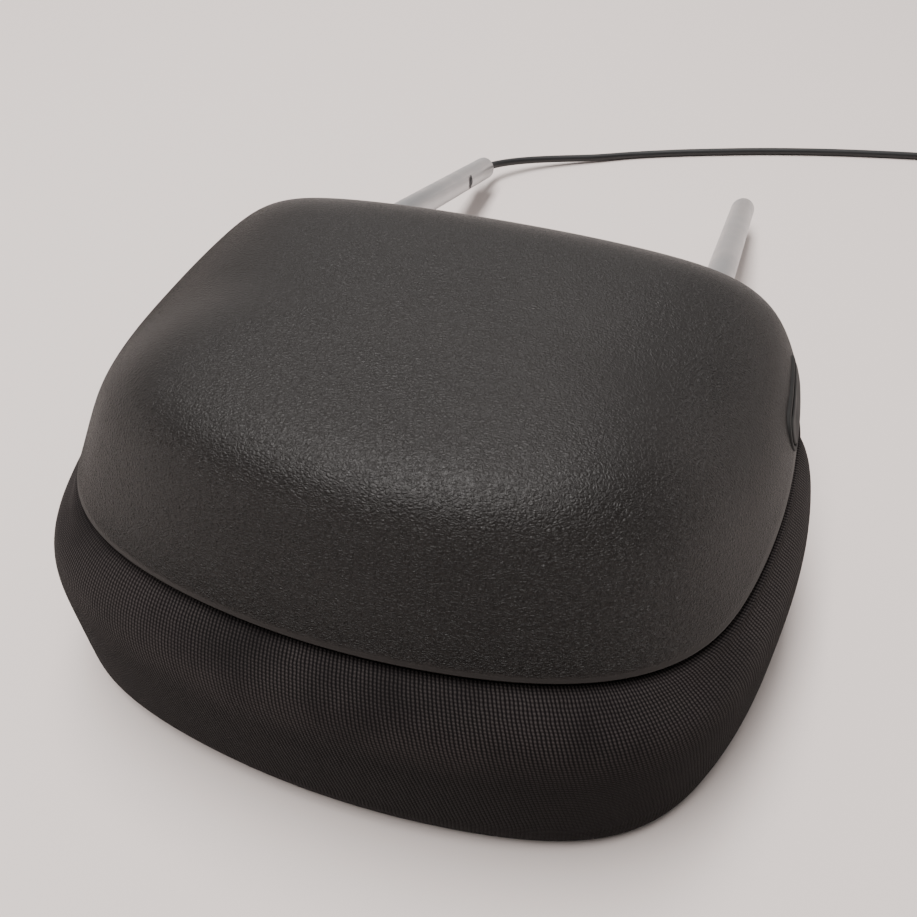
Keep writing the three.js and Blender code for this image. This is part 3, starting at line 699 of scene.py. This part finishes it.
def add_cover():
    rings = cushion_profile()
    cover = grid_object("cover_cloth", rings, first_pole=(0, 0, 0), weave=weave_places(rings))
    pinned = {}
    for i, ring in enumerate(rings):
        held = i >= len(rings) - len(HEM) - 1 or ring[:, 2].max() < 0.5
        if held:
            pinned.update({i * COVER_COLUMNS + j: 1.0 for j in range(COVER_COLUMNS)})
    pinned[len(rings) * COVER_COLUMNS] = 1.0
    swell(cover, pinned)
    step = cover.modifiers.new("finer", "SUBSURF")
    step.levels = 1
    step.render_levels = 1
    apply_modifiers(cover)
    step = cover.modifiers.new("cloth thickness", "SOLIDIFY")
    step.thickness = COVER_WALL * MM
    step.offset = -1
    apply_modifiers(cover)
    outward(cover)
    for vertex in cover.data.vertices:
        vertex.co.z = max(vertex.co.z, 0)
    smooth_by_angle(cover, 60)
    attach(cover, "cushion")
    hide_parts("cushion_cover")
    return cover


def prism(name, plan, bottom, top):
    x, y = plan_line(plan, even_angles(plan, 120))
    rings = [np.column_stack([x, y, np.full_like(x, z)]) for z in (bottom, top)]
    return grid_object(name, rings, (0, 0, bottom), (0, 0, top))


def add_foam():
    """The pad under the cover, up to the carrier's tray and the underside of its flange."""
    angles = even_angles(CUSHION_PLAN, 160)
    inset = COVER_WALL + FOAM_INSET
    x, y = plan_line(CUSHION_PLAN, angles, inset)
    wide_x = plan_line(CUSHION_PLAN, angles)[0]
    rings = []
    for turn in np.radians(np.linspace(-88, 40, 34)):
        ring = cushion_ring(angles, turn)
        spread = (ring[:, 0] / np.where(np.abs(wide_x) > 1, wide_x, 1)).max()
        height = np.maximum(ring[:, 2], inset)
        rings.append(np.column_stack([x * spread, y * spread, np.minimum(height, FOAM_TOP)]))
    foam = grid_object("pad_foam", rings, (0, 0, inset), (0, 0, FOAM_TOP))
    cut(foam, prism("tray_room", SKIRT_PLAN, TRAY_Z, 90))
    smooth_by_angle(foam, 40)
    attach(foam, "cushion")
    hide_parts("foam_pad")
    return foam


# ---------- posts ----------

def add_posts():
    tilt_axis = on_post(-1, 1) - on_post(-1, 0)
    bore, radius = POST_BORE, POST_RADIUS
    profile = [(bore, 0.5), (bore + 0.4, 0.1), (radius - 0.7, 0), (radius - 0.25, 0.2), (radius, 0.8),
               (radius, POST_LENGTH / 2), (radius, POST_LENGTH), (bore, POST_LENGTH),
               (bore, POST_LENGTH / 2)]
    left = lathe("post_left", profile, on_post(-1, 0), tilt_axis, 72)
    middle = on_post(-1, NOTCH["inward"])
    size = np.array(NOTCH["half_size"])
    corners = [np.array([x, y, z]) for x in (-1, 1) for y in (-1, 1) for z in (-1, 1)]
    turn = np.array(Matrix.Rotation(-POST_SLOPE, 3, "X"))
    box = [middle + (NOTCH["outward"], 0, 0) + turn @ (c * size) for c in corners]
    faces = [(0, 1, 3, 2), (4, 6, 7, 5), (0, 4, 5, 1), (2, 3, 7, 6), (0, 2, 6, 4), (1, 5, 7, 3)]
    notch = new_object("notch_cut", box, faces, smooth=False)
    cut(left, notch)
    flat = radius - 1.4
    profile = [(0, 0), (flat - 0.3, 0), (flat, 0.1), (flat + 0.35, 0.35), (radius - 0.35, 1.1),
               (radius, 1.6), (radius, POST_LENGTH / 2), (radius, POST_LENGTH), (bore, POST_LENGTH),
               (bore, 6), (0, 6)]
    right = lathe("post_right", profile, on_post(1, 0), tilt_axis, 72)
    for post, node in ((left, "left_post"), (right, "right_post")):
        smooth_by_angle(post, 38)
        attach(post, "frame")
        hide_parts(node)
    return left, right


# ---------- materials ----------

def node(tree, kind, inputs=None, **settings):
    """Adds a shader node; an input is a constant or another node's socket."""
    made = tree.nodes.new(kind)
    for key, value in settings.items():
        setattr(made, key, value)
    for key, value in (inputs or {}).items():
        if isinstance(value, bpy.types.NodeSocket):
            tree.links.new(value, made.inputs[key])
        else:
            made.inputs[key].default_value = value
    return made


def maths(tree, operation, a, b=0.0):
    return node(tree, "ShaderNodeMath", {0: a, 1: b}, operation=operation).outputs[0]


def ramp(tree, fac, low, high, to_low=0.0, to_high=1.0):
    """A smooth step of a value between two limits."""
    made = node(tree, "ShaderNodeMapRange", {"Value": fac, "From Min": low, "From Max": high,
                                             "To Min": to_low, "To Max": to_high},
                interpolation_type="SMOOTHSTEP")
    return made.outputs["Result"]


def mix_colour(tree, fac, a, b):
    made = node(tree, "ShaderNodeMix", {0: fac, 6: (*a, 1) if isinstance(a, tuple) else a,
                                        7: (*b, 1) if isinstance(b, tuple) else b}, data_type="RGBA")
    return made.outputs[2]


def new_material(name, **constants):
    material = bpy.data.materials.new(name)
    material.use_nodes = True
    tree = material.node_tree
    shader = tree.nodes["Principled BSDF"]
    for key, value in constants.items():
        shader.inputs[key.replace("_", " ")].default_value = value
    return material, tree, shader


def object_place(tree):
    return node(tree, "ShaderNodeTexCoord").outputs["Object"]


def noise(tree, place, scale, detail=3.0, roughness=0.5):
    made = node(tree, "ShaderNodeTexNoise", {"Vector": place, "Scale": scale, "Detail": detail,
                                             "Roughness": roughness})
    return made.outputs["Fac"]


def bump(tree, shader, height, distance, strength=1.0):
    made = node(tree, "ShaderNodeBump", {"Height": height, "Distance": distance, "Strength": strength})
    tree.links.new(made.outputs["Normal"], shader.inputs["Normal"])


def above_edge(tree, place):
    """Height over the shell's lower edge, in metres."""
    split = node(tree, "ShaderNodeSeparateXYZ", {0: place}).outputs
    across = maths(tree, "ABSOLUTE", maths(tree, "DIVIDE", split["X"], SHELL_PLAN["half"] * MM))
    bow = maths(tree, "MULTIPLY", maths(tree, "POWER", across, PARTING_BOW_POWER), PARTING_BOW * MM)
    slope = maths(tree, "MULTIPLY", split["Y"], PARTING_RISE)
    level = maths(tree, "SUBTRACT", split["Z"], (PARTING_Z + PARTING_BOW) * MM)
    return maths(tree, "ADD", maths(tree, "SUBTRACT", level, slope), bow)


def pebble_plastic():
    """Moulded plastic with a leather-like grain of wrinkled pebbles.

    The grain fades toward the lower edge, the crown and the ends, and the left end has less sheen."""
    material, tree, shader = new_material("pebble_plastic")
    place = object_place(tree)
    warp = node(tree, "ShaderNodeTexNoise", {"Vector": place, "Scale": 700.0, "Detail": 2.0})
    shift = node(tree, "ShaderNodeVectorMath", {0: warp.outputs["Color"], 1: (0.5, 0.5, 0.5)},
                 operation="SUBTRACT")
    shift = node(tree, "ShaderNodeVectorMath", {0: shift.outputs[0], "Scale": 0.0014}, operation="SCALE")
    bent = node(tree, "ShaderNodeVectorMath", {0: place, 1: shift.outputs[0]}, operation="ADD").outputs[0]
    bent = node(tree, "ShaderNodeMapping", {"Vector": bent, "Scale": (0.72, 1.1, 1.1)}).outputs[0]
    cells = node(tree, "ShaderNodeTexVoronoi", {"Vector": bent, "Scale": 1000.0},
                 feature="DISTANCE_TO_EDGE")
    pebbles = ramp(tree, cells.outputs["Distance"], 0.0, 0.35)
    fine = node(tree, "ShaderNodeTexVoronoi", {"Vector": bent, "Scale": 2300.0},
                feature="DISTANCE_TO_EDGE")
    creases = ramp(tree, fine.outputs["Distance"], 0.0, 0.3)
    height = maths(tree, "ADD", maths(tree, "MULTIPLY", creases, 0.35), pebbles)
    height = maths(tree, "MULTIPLY", height, ramp(tree, above_edge(tree, place), 0.0015, 0.004))
    split = node(tree, "ShaderNodeSeparateXYZ", {0: place}).outputs
    crown = ramp(tree, split["Z"], 0.094, 0.103, 1.0, 0.22)
    ends = ramp(tree, maths(tree, "ABSOLUTE", split["X"]), 0.07, 0.105, 1.0, 0.5)
    bump(tree, shader, maths(tree, "MULTIPLY", height, maths(tree, "MULTIPLY", crown, ends)), 0.00048, 1.0)
    patches = noise(tree, place, 22.0, 4.0)
    colour = mix_colour(tree, ramp(tree, patches, 0.35, 0.7), (0.0095, 0.0079, 0.0074),
                        (0.0118, 0.01, 0.0094))
    tree.links.new(colour, shader.inputs["Base Color"])
    dull = ramp(tree, maths(tree, "ABSOLUTE", split["X"]), 0.085, 0.105, 0.0, 0.15)
    rough = maths(tree, "ADD", ramp(tree, patches, 0.3, 0.75, 0.37, 0.42), dull)
    tree.links.new(rough, shader.inputs["Roughness"])
    tree.links.new(ramp(tree, split["X"], -0.1, -0.055, 0.03, 0.28), shader.inputs["Specular IOR Level"])
    return material


def rib_knit():
    """Knit with fine ribs that run up the side, each a chain of stitches, with painted shade in the grooves
    and a painted sheen band near the top of the side.
    """
    material, tree, shader = new_material("rib_knit", Roughness=0.95, Specular_IOR_Level=0.06,
                                          Sheen_Weight=0.07, Sheen_Roughness=0.45,
                                          Sheen_Tint=(0.6, 0.54, 0.52, 1))
    weave = node(tree, "ShaderNodeUVMap", uv_map="weave").outputs["UV"]
    split = node(tree, "ShaderNodeSeparateXYZ", {0: weave})
    wobble = noise(tree, object_place(tree), 300.0, 2.0)
    across = maths(tree, "ADD", split.outputs["X"], maths(tree, "MULTIPLY", wobble, 0.45))
    rib = maths(tree, "ABSOLUTE", maths(tree, "SINE", maths(tree, "MULTIPLY", across, math.pi)))
    row = maths(tree, "ADD", split.outputs["Y"], maths(tree, "MULTIPLY", wobble, 0.6))
    row = maths(tree, "SINE", maths(tree, "MULTIPLY", row, 2 * math.pi))
    row = maths(tree, "ADD", maths(tree, "MULTIPLY", row, 0.5), 0.5)
    height = maths(tree, "ADD", rib, maths(tree, "MULTIPLY", maths(tree, "MULTIPLY", row, rib), 0.7))
    fuzz = noise(tree, object_place(tree), 3200.0, 3.0, 0.7)
    height = maths(tree, "ADD", height, maths(tree, "MULTIPLY", fuzz, 0.5))
    bump(tree, shader, height, 0.00025, 0.8)
    # Painted shade: the knit is darker down in the grooves between ribs and stitches and lighter on their
    # tops.
    tint = mix_colour(tree, ramp(tree, height, 0.4, 1.9), (0.0052, 0.0045, 0.0049),
                      (0.0082, 0.0072, 0.0077))
    patches = noise(tree, object_place(tree), 40.0, 3.0)
    tint = mix_colour(tree, ramp(tree, patches, 0.45, 0.75, 0.0, 0.25), tint, (0.011, 0.009, 0.0088))
    # Painted sheen: a lighter band high on the cushion's side, where the knit faces up to the light,
    # strongest on the rib tops and in patches.
    height_up = node(tree, "ShaderNodeSeparateXYZ", {0: object_place(tree)}).outputs["Z"]
    painted_sheen_band = maths(tree, "MULTIPLY", ramp(tree, height_up, 0.036, 0.052), ramp(tree, height, 0.6, 2.1))
    painted_sheen_band = maths(tree, "MULTIPLY", painted_sheen_band, ramp(tree, patches, 0.25, 0.6, 0.35, 0.8))
    tint = mix_colour(tree, painted_sheen_band, tint, (0.06, 0.051, 0.05))
    tree.links.new(tint, shader.inputs["Base Color"])
    return material


def satin_steel():
    """Satin chrome: fine lines along the post and soft cloudy wear."""
    material, tree, shader = new_material("satin_steel", Metallic=1.0)
    place = object_place(tree)
    turned = node(tree, "ShaderNodeMapping", {"Vector": place, "Rotation": (POST_SLOPE, 0, 0),
                                              "Scale": (1, 0.03, 1)})
    lines = noise(tree, turned.outputs[0], 2600.0, 2.0)
    cloud = noise(tree, place, 90.0, 4.0)
    rough = ramp(tree, cloud, 0.3, 0.75, 0.26, 0.42)
    rough = maths(tree, "ADD", rough, maths(tree, "MULTIPLY", lines, 0.08))
    tree.links.new(rough, shader.inputs["Roughness"])
    colour = mix_colour(tree, cloud, (0.40, 0.405, 0.415), (0.53, 0.535, 0.545))
    tree.links.new(colour, shader.inputs["Base Color"])
    bump(tree, shader, lines, 0.00002, 0.5)
    return material


def plain(name, colour, roughness, metallic=0.0, grain=1500.0, depth=0.00002, vary=0.25):
    """A finish with a fine grain and a slight change of tone."""
    material, tree, shader = new_material(name, Metallic=metallic)
    place = object_place(tree)
    cloud = noise(tree, place, 60.0, 4.0)
    darker = tuple(c * (1 - vary) for c in colour)
    tree.links.new(mix_colour(tree, cloud, darker, colour), shader.inputs["Base Color"])
    rough = ramp(tree, cloud, 0.3, 0.7, roughness * 0.9, min(roughness * 1.1, 1.0))
    tree.links.new(rough, shader.inputs["Roughness"])
    bump(tree, shader, noise(tree, place, grain, 2.0), depth, 0.6)
    return material


def dress(piece, material):
    piece.data.materials.clear()
    piece.data.materials.append(material)


def dress_node(names, material):
    for name in names:
        piece = frame["nodes"][name]
        for slot in piece.material_slots:
            slot.link = "OBJECT"
            slot.material = material
        if not piece.material_slots:
            piece.data.materials.append(material)


# ---------- stage ----------

def add_stage():
    size = 4000
    floor = new_object("floor", [(-size, -size, 0), (size, -size, 0), (size, size, 0), (-size, size, 0)],
                       [(0, 1, 2, 3)], smooth=False)
    material, _, shader = new_material("floor_paint", Roughness=0.75, Specular_IOR_Level=0.25)
    shader.inputs["Base Color"].default_value = (0.78, 0.70, 0.67, 1)
    dress(floor, material)
    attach(floor, "cushion")
    return floor


def area_light(name, place, target, width, depth, power, colour):
    data = bpy.data.lights.new(name, "AREA")
    data.shape = "RECTANGLE"
    data.size = width
    data.size_y = depth
    data.energy = power
    data.color = colour
    light = bpy.data.objects.new(name, data)
    bpy.context.scene.collection.objects.link(light)
    light.location = place
    aim = Vector(target) - Vector(place)
    light.rotation_euler = aim.to_track_quat("-Z", "Y").to_euler()


def add_lights():
    """A pale room: bright overhead and behind the object, dim on the near side and the right."""
    area_light("ceiling", (-0.35, 0.0, 2.1), (-0.1, 0.0, 0), 2.6, 0.7, 84, (1, 0.975, 0.955))
    world = bpy.data.worlds.new("room")
    world.use_nodes = True
    tree = world.node_tree
    toward = node(tree, "ShaderNodeTexCoord").outputs["Generated"]
    split = node(tree, "ShaderNodeSeparateXYZ", {0: toward}).outputs
    toward_back = maths(tree, "SUBTRACT", split["Y"], maths(tree, "MULTIPLY", split["X"], 0.3))
    walls = ramp(tree, toward_back, -0.4, 0.4, 0.13, 0.63)
    zenith = ramp(tree, split["Z"], 0.86, 0.98, 0.0, 1.0)
    room = tree.nodes["Background"]
    room.inputs["Color"].default_value = (0.98, 0.945, 0.925, 1)
    tree.links.new(maths(tree, "ADD", walls, zenith), room.inputs["Strength"])
    bpy.context.scene.world = world


# ---------- the object ----------

shell = add_shell()
button = add_button()
bezel = add_bezel()
spring = add_button_spring()
cover = add_cover()
pad = add_foam()
posts = add_posts()
add_stage()
add_lights()

pebble = pebble_plastic()
knit = rib_knit()
steel = satin_steel()
button_finish = plain("button_plastic", (0.005, 0.0047, 0.0045), 0.75, depth=0.00001)
moulded = plain("moulded_plastic", (0.035, 0.035, 0.037), 0.6)
sheath = plain("cable_sheath", (0.012, 0.012, 0.013), 0.5, grain=3000.0)
zinc = plain("zinc_steel", (0.42, 0.43, 0.45), 0.35, 1.0)
nylon = plain("white_nylon", (0.74, 0.72, 0.66), 0.45)
rubber = plain("rubber", (0.016, 0.016, 0.016), 0.8)
brass = plain("brass", (0.62, 0.5, 0.24), 0.3, 1.0)
foam = plain("foam", (0.7, 0.64, 0.42), 0.95, grain=900.0, depth=0.0005)

dress(shell, pebble)
dress(button, button_finish)
dress(bezel, button_finish)
dress(spring, zinc)
dress(cover, knit)
dress(pad, foam)
for post in posts:
    dress(post, steel)
cable.data.materials.append(sheath)

FINISHES = {
    "post_steel": steel, "zinc_steel": zinc, "moulded_plastic": moulded, "white_nylon": nylon,
    "cable_sheath": sheath, "rubber_seal": rubber, "brass_contact": brass, "connector_plastic": moulded,
    "knit_fabric": knit, "foam": foam, "shell_plastic": pebble,
    "button_plastic": button_finish,
}
for part in frame["record"]["subparts"]:
    dress_node([part["node"]], FINISHES[part["material_slot"]])

bpy.context.view_layer.update()
